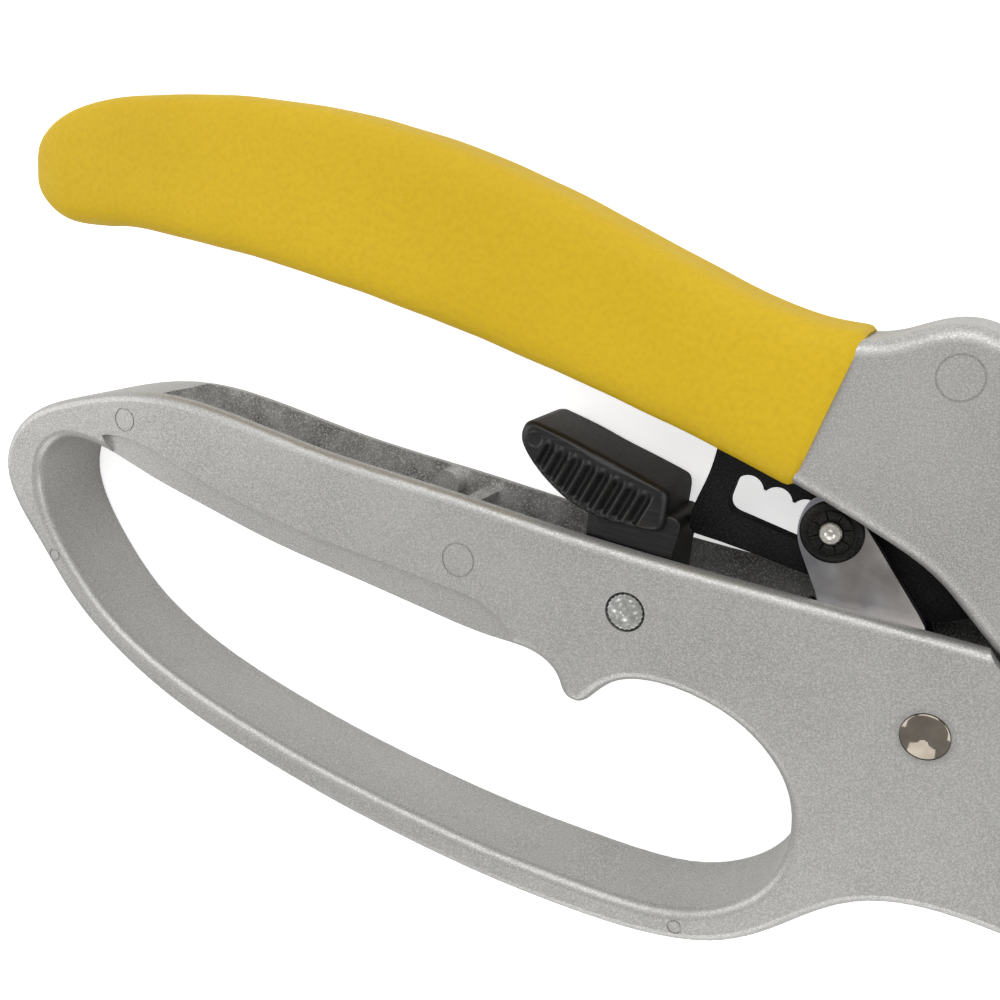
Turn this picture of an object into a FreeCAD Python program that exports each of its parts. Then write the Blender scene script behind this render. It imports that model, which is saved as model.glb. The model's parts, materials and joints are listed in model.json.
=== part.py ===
import FreeCAD, Part
import math
import os

from FreeCAD import Placement, Rotation, Vector

# Ratchet anvil pruner lying on its side, in millimetres.
# X runs along the lower handle towards the jaws, Y towards the upper handle, Z up.
# Outlines are drawn with the link rivet at (0, 0); LAYOUT moves every piece so that the
# origin of the finished part is under the middle of its bounding box, on the resting plane.

doc = FreeCAD.newDocument("ratchet_pruner")

# ---------------------------------------------------------------- driving dimensions
SIZES = [
    ("layout_x", 21.77, "link rivet from the origin, along X"),
    ("layout_y", -10.302, "link rivet from the origin, along Y"),
    ("body_thick", 13.6, "lower handle casting, face to face"),
    ("body_wall", 1.9, "wall of the lower handle's channel"),
    ("body_round", 1.2, "rounding of the casting's outer edges"),
    ("opening_round", 1.2, "rounding round the finger opening"),
    ("finger_step", 0.8, "depth of the finger grip step"),
    ("head_slot", 3.5, "slot for the blade in the lower handle's head"),
    ("upper_thick", 11.8, "upper handle casting, face to face"),
    ("upper_wall", 1.6, "wall of the upper handle's channel"),
    ("upper_round", 1.8, "rounding of the upper casting's edges"),
    ("grip_round", 4.0, "rounding of the dipped grip"),
    ("blade_thick", 3.0, "blade blank"),
    ("blade_open", 25.06, "blade opening angle at rest, degrees"),
    ("pivot_x", 34.0, "main pivot from the link rivet"),
    ("pivot_y", 4.0, "main pivot from the link rivet"),
    ("pivot_rad", 4.0, "main pivot shank"),
    ("heel_x", 10.8, "handle pivot from the link rivet"),
    ("heel_y", 15.8, "handle pivot from the link rivet"),
    ("heel_rad", 7.8, "round heel of the upper handle"),
    ("heel_pin_rad", 2.5, "handle pivot pin"),
    ("run_fit", 0.05, "radial clearance of a running fit"),
    ("rivet_rad", 2.0, "link rivet shank"),
    ("rivet_head", 2.6, "link rivet head"),
    ("push_x", -14.3, "ratchet pin from the link rivet"),
    ("push_y", 19.0, "ratchet pin from the link rivet"),
    ("push_rad", 1.25, "ratchet pin"),
    ("notch_gap", 0.5, "clearance of the ratchet pin in a notch"),
    ("notch_count", 4, "notches in the ratchet plate"),
    ("notch_fall", 11.0, "slope of the notch row, degrees"),
    ("plate_thick", 2.2, "ratchet plate"),
    ("link_thick", 1.2, "link plates"),
    ("link_inner", 1.9, "inner face of a link plate's upper half from the mid plane"),
    ("link_joggle", 0.8, "step of the link plates where they are bent"),
    ("cap_rad", 3.55, "push-on cap"),
    ("cap_thick", 0.9, "push-on cap"),
    ("catch_x", -35.2, "catch pin from the link rivet"),
    ("catch_y", 4.8, "catch pin from the link rivet"),
    ("catch_rad", 1.8, "catch pin shank"),
    ("catch_head", 2.35, "catch pin's knurled head"),
    ("pad_thick", 11.2, "thumb pad of the catch"),
    ("stem_thick", 8.8, "stem of the catch"),
    ("rib_pitch", 1.86, "ribs of the thumb pad"),
    ("rib_depth", 0.6, "ribs of the thumb pad"),
    ("anvil_thick", 6.0, "anvil strip across the tool"),
    ("anvil_high", 4.0, "anvil strip above its seat"),
    ("wire_rad", 0.4, "spring wire"),
]

sheet = doc.addObject("Spreadsheet::Sheet", "Sizes")
for row, (alias, value, note) in enumerate(SIZES, start=1):
    sheet.set("A%d" % row, str(value))
    sheet.setAlias("A%d" % row, alias)
    sheet.set("B%d" % row, note)
doc.recompute()
size = {alias: float(value) for alias, value, note in SIZES}

MID = size["body_thick"] / 2
PIVOT = Vector(size["pivot_x"], size["pivot_y"], 0)
HEEL = Vector(size["heel_x"], size["heel_y"], 0)
PUSH = Vector(size["push_x"], size["push_y"], 0)
CATCH = Vector(size["catch_x"], size["catch_y"], 0)
RIVET = Vector(0, 0, 0)

# ---------------------------------------------------------------- ways of drawing
nodes = []


def body_for(label):
    """A body that holds one sub-part, placed by the layout cells of the sheet."""
    body = doc.addObject("PartDesign::Body", label)
    body.Label = label
    body.setExpression("Placement.Base.x", "Sizes.layout_x")
    body.setExpression("Placement.Base.y", "Sizes.layout_y")
    nodes.append(body)
    return body


def on_plane(body, name, role, edges, height):
    """A sketch of the given edges on one of the body's origin planes, at a height."""
    plane = next(f for f in body.Origin.OriginFeatures if f.Role == role)
    sketch = body.newObject("Sketcher::SketchObject", name)
    sketch.AttachmentSupport = [(plane, "")]
    sketch.MapMode = "FlatFace"
    sketch.setExpression("AttachmentOffset.Base.z", height)
    for edge in edges:
        sketch.addGeometry(edge, False)
    doc.recompute()
    return sketch


def pad(body, name, edges, low, high):
    """Material between two heights, both given as expressions."""
    feature = body.newObject("PartDesign::Pad", name)
    feature.Profile = on_plane(body, name + "_sketch", "XY_Plane", edges, low)
    feature.setExpression("Length", "(%s) - (%s)" % (high, low))
    doc.recompute()
    return feature


def pocket(body, name, edges, low, high):
    """A cut between two heights, which has to leave its own faces on the body."""
    before = len(body.Shape.Faces)
    feature = body.newObject("PartDesign::Pocket", name)
    feature.Profile = on_plane(body, name + "_sketch", "XY_Plane", edges, high)
    feature.setExpression("Length", "(%s) - (%s)" % (high, low))
    doc.recompute()
    if len(body.Shape.Faces) == before:
        raise RuntimeError(name + " cuts nothing")
    return feature


def round_edges(body, name, wanted, radius):
    """A fillet on the edges of the body's tip that the test picks."""
    tip = body.Tip
    picked = ["Edge%d" % (i + 1) for i, e in enumerate(tip.Shape.Edges) if wanted(e)]
    feature = body.newObject("PartDesign::Fillet", name)
    feature.Base = (tip, picked)
    feature.setExpression("Radius", radius)
    doc.recompute()
    return feature


def runs(*stretches):
    """Edges of an outline: two points make a line, more make a smooth curve."""
    edges = []
    for stretch in stretches:
        points = [Vector(p[0], p[1], 0) for p in stretch]
        if len(points) == 2:
            edges.append(Part.LineSegment(points[0], points[1]))
        else:
            curve = Part.BSplineCurve()
            curve.interpolate(points)
            edges.append(curve)
    return edges


def loop(points):
    """One smooth closed curve through the points."""
    curve = Part.BSplineCurve()
    curve.interpolate([Vector(p[0], p[1], 0) for p in points], PeriodicFlag=True)
    return [curve]


def polygon(points):
    """Straight sides through the points, closed."""
    ring = [Vector(p[0], p[1], 0) for p in points]
    return [Part.LineSegment(a, b) for a, b in zip(ring, ring[1:] + ring[:1])]


def circle(centre, radius):
    """A circle about a point."""
    return Part.Circle(centre, Vector(0, 0, 1), radius)


def polar(centre, radius, degrees):
    """The point at a radius and direction from a centre."""
    turn = math.radians(degrees)
    return centre + Vector(radius * math.cos(turn), radius * math.sin(turn), 0)


def arc(centre, radius, first, last):
    """An arc about a centre from one direction to another, in degrees."""
    middle = (first + last) / 2
    return Part.Arc(polar(centre, radius, first), polar(centre, radius, middle),
                    polar(centre, radius, last))


def pair(point):
    """The X and Y of a point, for lists of outline points."""
    return (point.x, point.y)


def flat_at(height):
    """A test for edges that lie in the plane at a height."""
    def test(edge):
        box = edge.BoundBox
        return abs(box.ZMin - height) < 1e-3 and abs(box.ZMax - height) < 1e-3
    return test


# ---------------------------------------------------------------- lower handle casting
# One die casting: knuckle guard, finger grip with a spur, open channel and anvil arm.
FACE = "Sizes.body_thick"
CHANNEL_LOW = "Sizes.body_wall"
CHANNEL_HIGH = "Sizes.body_thick - Sizes.body_wall"
heel_cut = size["heel_rad"] + 0.35
cut_left = polar(HEEL, heel_cut, 216)
cut_right = polar(HEEL, heel_cut, 318)

guard_outline = [
    pair(cut_left), (-14, 11.4), (-45, 12.5), (-60, 13.7), (-79, 15), (-94, 16.9),
    (-104, 17.4), (-112, 16.3), (-120, 13.9), (-127.6, 10.2), (-131.2, 6), (-132.2, 1.2),
    (-130.4, -3.4), (-125.9, -8.8), (-119.3, -16), (-112.6, -21), (-105.1, -25),
    (-97.6, -27.9), (-89.8, -30.1), (-74.8, -33.4), (-59.8, -35.6), (-47.2, -36.7),
    (-38, -36.9), (-29.6, -36.6), (-23.3, -35.7), (-17.8, -33.9), (-12.4, -30.3),
    (-7.5, -25.7), (-2.9, -22.4), (2.9, -20.6), (9, -20.3), (20, -21.2), (40, -22.8),
    (60, -22.4), (76, -20.2), (85, -18.3)]
arm_tip = [(85, -18.3), (88.2, -16.6), (88.4, -13.1)]
anvil_seat = [(88.4, -13.1), (50, -11)]
head_outline = [
    (50, -11), (48.8, -6), (49.4, 1), (47.8, 9), (42.5, 15.8), (34.5, 18.8),
    (26, 17.2), (20.5, 13.4), pair(cut_right)]
finger_opening = [
    (-119.8, 8.2), (-115.5, 8.1), (-106.8, 5.8), (-96.8, 3.4), (-86, 1.1), (-75.8, -0.4),
    (-65.9, -1.7), (-59, -2.7), (-51.2, -3.4), (-45.3, -4), (-42.6, -6), (-41.2, -8.1),
    (-39.4, -8.4), (-37.7, -6.9), (-35.4, -4.6), (-29.4, -3.1), (-24.6, -3.6),
    (-20.5, -4.9), (-16.5, -7.4), (-13.4, -11), (-11.9, -15.5), (-12, -20), (-14, -25),
    (-17.9, -28.8), (-22.9, -31.3), (-30, -32.5), (-38, -32.6), (-47, -32.4), (-60, -31.3),
    (-73.4, -29.5), (-86.1, -27), (-96.4, -24.3), (-105.8, -20.8), (-113.5, -16.3),
    (-119.3, -10.8), (-123.5, -5.4), (-125.7, 0.2), (-124.6, 5.2)]
finger_step = runs(
    [(-114, 9.9), (-109.3, 10.4), (-105, 9.7), (-98.4, 7.6), (-89.8, 5.5), (-77.4, 3.5),
     (-67.8, 2.7), (-58.5, 1.8), (-53.9, 1.1), (-50.6, -0.6), (-48.5, -3.2)],
    [(-48.5, -3.2), (-50, -7), (-80, -4), (-108, 3), (-114, 9.9)])
channel = runs(
    [(-105, 19), (-104.2, 14.2), (-100, 10.5), (-92, 9), (-72, 7), (-56, 5), (-44, -0.2),
     (-30, -0.2), (-14, -4.5), (0, -7), (16, -7)],
    [(16, -7), (16, 30)],
    [(16, 30), (-105, 30)],
    [(-105, 30), (-105, 19)])
web_sides = [(-59.8, 3), (-58.0, 3), (-58.0, 11.9), (-59.8, 12.1)]
blade_way = [(10, -7), (22, -10.4), (49.2, -10.6), (70, 40), (0, 40)]



def on_face(edge):
    """A test for the edges round the casting's two flat faces."""
    return flat_at(0)(edge) or flat_at(size["body_thick"])(edge)


lower = body_for("lower_handle")
pad(lower, "casting", runs(guard_outline, arm_tip, anvil_seat, head_outline)
    + [arc(HEEL, heel_cut, 318, 216)], "0", FACE)
pocket(lower, "finger_opening", loop(finger_opening), "-1", FACE + " + 1")
round_edges(lower, "opening_rounding", lambda e: on_face(e) and 200 < e.Length < 330,
            "Sizes.opening_round")
round_edges(lower, "outer_rounding", lambda e: on_face(e) and e.Length > 330, "Sizes.body_round")
pocket(lower, "near_step", finger_step, FACE + " - Sizes.finger_step", FACE + " + 1")
pocket(lower, "far_step", finger_step, "-1", "Sizes.finger_step")
pocket(lower, "open_channel", channel, CHANNEL_LOW, CHANNEL_HIGH)
pocket(lower, "blade_slot", polygon(blade_way),
       "(Sizes.body_thick - Sizes.head_slot) / 2", "(Sizes.body_thick + Sizes.head_slot) / 2")
pad(lower, "channel_web", polygon(web_sides), "Sizes.body_wall - 0.2", CHANNEL_HIGH + " + 0.2")
pad(lower, "wall_lug", [circle(Vector(-64.6, 11.8, 0), 1.9)], "Sizes.body_wall - 0.2", "4.2")
pocket(lower, "pivot_bore", [circle(PIVOT, size["pivot_rad"])], "-1", FACE + " + 1")
pocket(lower, "nut_recess", [circle(PIVOT, 7.6)], "-1", "3.2")
pocket(lower, "rivet_bore", [circle(RIVET, size["rivet_rad"])], "-1", FACE + " + 1")
pocket(lower, "rivet_recess", [circle(RIVET, size["rivet_head"])], "-1", "0.6")
pocket(lower, "rivet_seat", [circle(RIVET, size["rivet_head"] + 0.12)], FACE + " - 0.3",
       FACE + " + 1")
pocket(lower, "catch_bore", [circle(CATCH, size["catch_rad"])], "-1", FACE + " + 1")
pocket(lower, "catch_seat", [circle(CATCH, size["catch_head"] + 0.1)], FACE + " - 1.2",
       FACE + " + 1")

# Round witness marks of the ejector pins on the near face: a shallow ring each.
MARK_WIDE = 0.22
for number, (x, y, radius) in enumerate([(-110, 12.9, 1.7), (-57.3, 5.7, 2.25),
                                         (-22.9, -33.5, 0.95), (-122.3, -10.1, 0.95)]):
    centre = Vector(x, y, 0)
    rings = [circle(centre, radius), circle(centre, radius - MARK_WIDE)]
    pocket(lower, "ejector_mark_%d" % number, rings, FACE + " - 0.14", FACE + " + 1")

# ---------------------------------------------------------------- upper handle casting
# One die casting: a lever of channel section whose round heel straddles the blade's tang.
UPPER_LOW = "(Sizes.body_thick - Sizes.upper_thick) / 2"
UPPER_HIGH = "(Sizes.body_thick + Sizes.upper_thick) / 2"
INSIDE_LOW = UPPER_LOW + " + Sizes.upper_wall"
INSIDE_HIGH = UPPER_HIGH + " - Sizes.upper_wall"
upper_face = (size["body_thick"] + size["upper_thick"]) / 2
heel_round = [pair(polar(HEEL, size["heel_rad"], turn)) for turn in range(232, 380, 18)]

lever_outline = heel_round + [
    (16.9, 25), (12, 33.5), (5, 40.2), (-1, 43.1), (-4.5, 43.8), (-9, 42.7),
    (-12, 41.3), (-15.6, 40.5), (-22.7, 41.1), (-29.8, 42.9), (-37.2, 45.5), (-44.9, 48),
    (-52.7, 50.5), (-60.7, 52.7), (-67.6, 54.2), (-74.6, 55.3), (-83.2, 56.1), (-92.2, 56.5),
    (-101.6, 56.2), (-110.4, 55.3), (-116.5, 54.1), (-121, 52.3), (-124.9, 49.5), (-126.8, 46.4),
    (-126.2, 43.3), (-123.8, 40.9), (-120.4, 39.6), (-116, 39.2), (-108, 39.5), (-95.7, 38.8),
    (-86.4, 37.9), (-78.8, 36.9), (-70.1, 35.7), (-63, 34.4), (-53.4, 32.6), (-45.5, 30.8),
    (-37.8, 29.1), (-30.4, 27.2), (-24.9, 25.6), (-19.6, 23.9), (-15, 22.3), (-9, 20),
    (-2.6, 16.9), (1.5, 13.5)]
lever_channel = runs(
    [(14, 6), (14, 24), (6, 34.5), (-3, 38.6), (-15, 36.6), (-30, 38.6), (-52, 46), (-75, 51),
     (-95, 52), (-112, 50), (-118, 44), (-118, 34)],
    [(-118, 34), (-118, 20)],
    [(-118, 20), (-60, 0)],
    [(-60, 0), (14, 0)],
    [(14, 0), (14, 6)])

upper = body_for("upper_handle")
pad(upper, "casting", loop(lever_outline), UPPER_LOW, UPPER_HIGH)
round_edges(upper, "outer_rounding", lambda e: (
    flat_at(upper_face)(e) or flat_at(size["body_thick"] - upper_face)(e)), "Sizes.upper_round")
pocket(upper, "open_channel", lever_channel, INSIDE_LOW, INSIDE_HIGH)
pocket(upper, "tang_clearance", [circle(HEEL, size["heel_rad"] + 2)], INSIDE_LOW, INSIDE_HIGH)
BOSS_GAP = 0.1
blade_low = (size["body_thick"] - size["blade_thick"]) / 2
blade_high = (size["body_thick"] + size["blade_thick"]) / 2
pad(upper, "far_boss", [circle(HEEL, 5)], INSIDE_LOW + " - 0.2", "%g" % (blade_low - BOSS_GAP))
pad(upper, "near_boss", [circle(HEEL, 5)], "%g" % (blade_high + BOSS_GAP), INSIDE_HIGH + " + 0.2")
pocket(upper, "heel_bore", [circle(HEEL, size["heel_pin_rad"])], "-1", FACE + " + 1")
RIVETS = [Vector(-26, 30.6, 0), Vector(-20.2, 32.2, 0)]
PLATE_RIVET = 1.2
pocket(upper, "plate_bores", [circle(p, PLATE_RIVET) for p in RIVETS], "-1", FACE + " + 1")
pocket(upper, "ejector_mark", [circle(Vector(-4.6, 38.5, 0), 2.5),
                               circle(Vector(-4.6, 38.5, 0), 2.5 - MARK_WIDE)],
       UPPER_HIGH + " - 0.14", FACE + " + 1")

# ---------------------------------------------------------------- dipped grip
# Soft PVC skin over the whole lever, open underneath along the casting's channel.
grip_outline = runs(
    [(-14.6, 41.4), (-18.5, 41.4), (-22.7, 42), (-29.8, 43.8), (-37.2, 46.4), (-44.9, 48.9),
     (-52.7, 51.4), (-60.7, 53.6), (-67.6, 55.1), (-74.6, 56.2), (-83.2, 57.1), (-92.2, 57.5),
     (-101.6, 57.2), (-110.4, 56.3), (-116.6, 55.2), (-121.8, 53.5), (-126, 50.8),
     (-128.3, 47.9), (-128.9, 44.8), (-127.3, 41.4), (-124, 39.1), (-120.6, 38.2),
     (-115.6, 38.1), (-106, 38.5), (-95.7, 37.8), (-86.4, 36.9), (-78.8, 35.9), (-70.1, 34.7),
     (-63, 33.4), (-53.4, 31.6), (-45.5, 29.8), (-37.8, 28), (-30.4, 26.1), (-24.9, 24.5),
     (-19.4, 22.9)],
    [(-19.4, 22.9), (-18.2, 28), (-17, 33), (-15.8, 37.5), (-14.6, 41.4)])
grip = body_for("handle_grip")
pad(grip, "skin", grip_outline, "0", FACE)
round_edges(grip, "skin_rounding", lambda e: on_face(e) and e.Length > 60, "Sizes.grip_round")
# The lever fills the inside of the skin, so the same outline is cut out of it.
pocket(grip, "lever_inside", loop(lever_outline), UPPER_LOW, UPPER_HIGH)
pocket(grip, "open_underside", lever_channel, INSIDE_LOW, INSIDE_HIGH)

# ---------------------------------------------------------------- blade
# Drawn closed on the anvil about the main pivot, then turned open by the sheet's angle.
tang_reach = (HEEL - PIVOT).Length
tang_turn = math.degrees(math.atan2(HEEL.y - PIVOT.y, HEEL.x - PIVOT.x))
tang_eye = polar(Vector(0, 0, 0), tang_reach, tang_turn - size["blade_open"])
TANG_RAD = 6.6
eye_left = polar(tang_eye, TANG_RAD, 225)
eye_right = polar(tang_eye, TANG_RAD, 30)
blade_outline = runs(
    [pair(eye_left), (-12.3, 8), (-11.4, 0), (-7.5, -8.6), (0, -12.4), (7, -12.4), (13, -10.3)],
    [(13, -10.3), (54.3, -12.3)],
    [(54.3, -12.3), (53, -8.5), (46, -3.4), (36, 1.3), (25, 5.6), (15, 10.4), (7, 15.4),
     (-2, 20), pair(eye_right)])
blade = body_for("blade")
blade.setExpression("Placement.Base.x", "Sizes.layout_x + Sizes.pivot_x")
blade.setExpression("Placement.Base.y", "Sizes.layout_y + Sizes.pivot_y")
blade.setExpression("Placement.Rotation.Angle", "Sizes.blade_open * 1 deg")
pad(blade, "blank", blade_outline + [arc(tang_eye, TANG_RAD, 30, 225)],
    "(Sizes.body_thick - Sizes.blade_thick) / 2", "(Sizes.body_thick + Sizes.blade_thick) / 2")
pocket(blade, "pivot_bore", [circle(Vector(0, 0, 0), size["pivot_rad"] + size["run_fit"])],
       "-1", FACE + " + 1")
pocket(blade, "heel_bore", [circle(tang_eye, size["heel_pin_rad"] + size["run_fit"])],
       "-1", FACE + " + 1")


# ---------------------------------------------------------------- plain turned and cut pieces
def plate(label, edges, low, high, holes=()):
    """A flat piece: one outline between two heights, with round holes."""
    body = body_for(label)
    pad(body, "blank", edges, low, high)
    if holes:
        pocket(body, "holes", [circle(centre, radius) for centre, radius in holes],
               "-5", FACE + " + 5")
    return body


def stack(label, centres, steps, bore=0.0):
    """Round pieces on each centre: coaxial steps of (radius, low, high)."""
    body = doc.addObject("Part::Feature", label)
    solids = []
    for centre in centres:
        rounds = [Part.makeCylinder(radius, high - low, centre + Vector(0, 0, low))
                  for radius, low, high in steps]
        solid = rounds[0]
        for more in rounds[1:]:
            solid = solid.fuse(more)
        if bore:
            solid = solid.cut(Part.makeCylinder(bore, 40, centre - Vector(0, 0, 10)))
        solids.append(solid.removeSplitter())
    return settle(body, label, solids)


def settle(body, label, solids):
    """Gives a direct shape its label and its place in the layout."""
    body.Label = label
    body.Shape = Part.makeCompound(solids) if len(solids) > 1 else solids[0]
    body.setExpression("Placement.Base.x", "Sizes.layout_x")
    body.setExpression("Placement.Base.y", "Sizes.layout_y")
    nodes.append(body)
    return body


thick = size["body_thick"]
wall = size["body_wall"]

# ---------------------------------------------------------------- anvil strip and its pins
seat_left = Vector(anvil_seat[1][0], anvil_seat[1][1], 0)
seat_right = Vector(anvil_seat[0][0], anvil_seat[0][1], 0)
along = (seat_right - seat_left).normalize()
above = Vector(-along.y, along.x, 0)
anvil_start = seat_left + along * 1.5
anvil_end = seat_right - along * 1.5
rise = above * size["anvil_high"]
plate("anvil", polygon([pair(anvil_start), pair(anvil_end), pair(anvil_end + rise - along * 1.5),
                        pair(anvil_start + rise)]),
      "(Sizes.body_thick - Sizes.anvil_thick) / 2", "(Sizes.body_thick + Sizes.anvil_thick) / 2")

PIN_RAD = 1.1
PIN_DEEP = 3.5
anvil_pins = doc.addObject("Part::Feature", "anvil_pins")
settle(anvil_pins, "anvil_pins", [
    Part.makeCylinder(PIN_RAD, PIN_DEEP, seat_left + along * reach + Vector(0, 0, MID) - above * PIN_DEEP,
                      above) for reach in (9, 29)])
for number, reach in enumerate((9, 29)):
    spot = seat_left + along * reach - above * PIN_DEEP
    corner = [spot - along * PIN_RAD, spot + along * PIN_RAD]
    top = [corner[1] + above * (PIN_DEEP + 1), corner[0] + above * (PIN_DEEP + 1)]
    pocket(lower, "anvil_pin_hole_%d" % number, polygon([pair(p) for p in corner + top]),
           "%g" % (MID - PIN_RAD), "%g" % (MID + PIN_RAD))

# ---------------------------------------------------------------- main pivot
HEAD_WIDE = 6.5
HEAD_HIGH = 2.6
WASHER_RAD = 8.5
WASHER_HIGH = 0.9
NUT_WIDE = 6.6
NUT_LOW = 0.1
NUT_HIGH = 3.2
hexagon = [pair(polar(PIVOT, NUT_WIDE, 60 * corner)) for corner in range(6)]
stack("pivot_bolt", [PIVOT], [
    (size["pivot_rad"], 0.4, thick + WASHER_HIGH + 0.5),
    (HEAD_WIDE, thick + WASHER_HIGH, thick + WASHER_HIGH + HEAD_HIGH)])
stack("pivot_washer", [PIVOT], [(WASHER_RAD, thick, thick + WASHER_HIGH)], size["pivot_rad"])
plate("pivot_nut", polygon(hexagon), "%g" % NUT_LOW, "%g" % NUT_HIGH,
      [(PIVOT, size["pivot_rad"])])
stack("blade_washers", [PIVOT], [(7.5, (thick - size["head_slot"]) / 2,
                                  (thick - size["blade_thick"]) / 2 - 0.03)],
      size["pivot_rad"])
doc.recompute()

# ---------------------------------------------------------------- handle pivot pin
stack("handle_pin", [HEEL], [(size["heel_pin_rad"], upper_face - size["upper_thick"], upper_face)])

# ---------------------------------------------------------------- ratchet plate
# Its window has a scalloped upper edge with blunt teeth; the pin pushes up in one scallop
# at a time.
notch_rad = size["push_rad"] + size["notch_gap"]
row_turn = math.radians(size["notch_fall"])
row = Vector(-math.cos(row_turn), math.sin(row_turn), 0)
row_degrees = 180 - size["notch_fall"]
notches = [PUSH + row * (2 * notch_rad * step) for step in range(int(size["notch_count"]))]
TOOTH_TURN = 25
turn_first = [row_degrees - 180] + [row_degrees - 180 + TOOTH_TURN] * (len(notches) - 1)
turn_last = [row_degrees - TOOTH_TURN] * (len(notches) - 1) + [row_degrees]
scallops = [arc(centre, notch_rad, first, last)
            for centre, first, last in zip(notches, turn_first, turn_last)]
teeth = [[pair(polar(notches[step], notch_rad, turn_last[step])),
          pair(polar(notches[step + 1], notch_rad, turn_first[step + 1]))]
         for step in range(len(notches) - 1)]
below = Vector(row.y, -row.x, 0) * -3.2
window_right = notches[0] - row * notch_rad
window_left = notches[-1] + row * notch_rad
corner_start = window_left + below * 0.5
corner_middle = window_left + below * 0.86 - row * 0.4
corner_end = window_left + below - row * 1.5
window = scallops + runs(
    *teeth, [pair(window_left), pair(corner_start)],
    [pair(corner_start), pair(corner_middle), pair(corner_end)],
    [pair(corner_end), pair(window_right + below)],
    [pair(window_right + below), pair(window_right)])
tang_gap = TANG_RAD + 0.6
plate_top = polar(HEEL, tang_gap, 120)
plate_low = polar(HEEL, tang_gap, 190)
ratchet_outline = runs(
    [pair(plate_low), (0.6, 11.9), (-2.6, 10.9)],
    [(-2.6, 10.9), (-16.8, 12.9), (-24, 13.9), (-30.2, 14.5)],
    [(-30.2, 14.5), (-30.7, 15.2)],
    [(-30.7, 15.2), (-30.3, 18.9), (-29.6, 21.3), (-29, 25), (-29.2, 33.5)],
    [(-29.2, 33.5), (-14, 34.2)],
    [(-14, 34.2), (-3, 34.6), (4, 29.6), pair(plate_top)])
ratchet = plate("ratchet_plate", ratchet_outline + [arc(HEEL, tang_gap, 120, 190)],
                "(Sizes.body_thick - Sizes.plate_thick) / 2",
                "(Sizes.body_thick + Sizes.plate_thick) / 2",
                [(p, PLATE_RIVET) for p in RIVETS])
pocket(ratchet, "window", window, "-1", FACE + " + 1")

plate_low_z = MID - size["plate_thick"] / 2
plate_high_z = MID + size["plate_thick"] / 2
inside_low = thick - upper_face + size["upper_wall"]
inside_high = upper_face - size["upper_wall"]
stack("plate_rivets", RIVETS, [
    (PLATE_RIVET, thick - upper_face, upper_face), (2.2, inside_low, plate_low_z),
    (2.2, plate_high_z, inside_high)])

# ---------------------------------------------------------------- link with its pin and caps
link_outline = runs(
    [(-4.2, -2.6), (-9, 3.2), (-14.2, 10.6), (-16.3, 14.3), (-18, 17.9), (-18, 20),
     (-17, 22.2), (-14.6, 23), (-12.4, 22.2)],
    [(-12.4, 22.2), (-2.6, 10.9)],
    [(-2.6, 10.9), (1.5, 5.5), (4.4, 2.4), (4.9, -1), (3, -4), (0, -4.9), (-4.2, -2.6)])
BEND_HIGH = 12.0
BEND_LOW = 10.0
inner = size["link_inner"]
outer = inner + size["link_thick"]
step = size["link_joggle"]
bend_profile = [(30, inner), (BEND_HIGH, inner), (BEND_LOW, inner + step), (-10, inner + step),
                (-10, outer + step), (BEND_LOW, outer + step), (BEND_HIGH, outer), (30, outer)]
for label, side in (("link_near", 1), ("link_far", -1)):
    blank = Part.Face(Part.Wire([e.toShape() for e in link_outline])).extrude(Vector(0, 0, 40))
    blank.translate(Vector(0, 0, -20))
    ring = [Vector(-40, y, MID + side * z) for y, z in bend_profile]
    bent = Part.Face(Part.makePolygon(ring + ring[:1])).extrude(Vector(80, 0, 0))
    link = blank.common(bent)
    for centre, radius in ((RIVET, size["rivet_rad"] + size["run_fit"]), (PUSH, size["push_rad"])):
        link = link.cut(Part.makeCylinder(radius, 40, centre - Vector(0, 0, 10)))
    settle(doc.addObject("Part::Feature", label), label, [link])

BUSH_RAD = 3.0
bush_half = inner + step
stack("link_bush", [RIVET], [(BUSH_RAD, MID - bush_half, MID + bush_half)],
      size["rivet_rad"] + size["run_fit"])
pin_half = outer + size["cap_thick"] + 0.35
stack("ratchet_pin", [PUSH], [(size["push_rad"], MID - pin_half, MID + pin_half)])
for label, side in (("pin_cap_near", 1), ("pin_cap_far", -1)):
    face = MID + side * outer
    tip = MID + side * (outer + size["cap_thick"])
    stack(label, [PUSH], [(size["cap_rad"], min(face, tip), max(face, tip))], size["push_rad"])

# ---------------------------------------------------------------- link rivet
CONE_HIGH = 0.55
rivet = doc.addObject("Part::Feature", "link_rivet")
shank = Part.makeCylinder(size["rivet_rad"], thick - 0.9, Vector(0, 0, 0.6))
far_head = Part.makeCylinder(size["rivet_head"], 0.6)
near_head = Part.makeCylinder(size["rivet_head"], 0.35, Vector(0, 0, thick - 0.3))
cone = Part.makeCone(size["rivet_head"], 0.35, CONE_HIGH, Vector(0, 0, thick + 0.05))
settle(rivet, "link_rivet", [shank.fuse([far_head, near_head, cone]).removeSplitter()])

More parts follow.
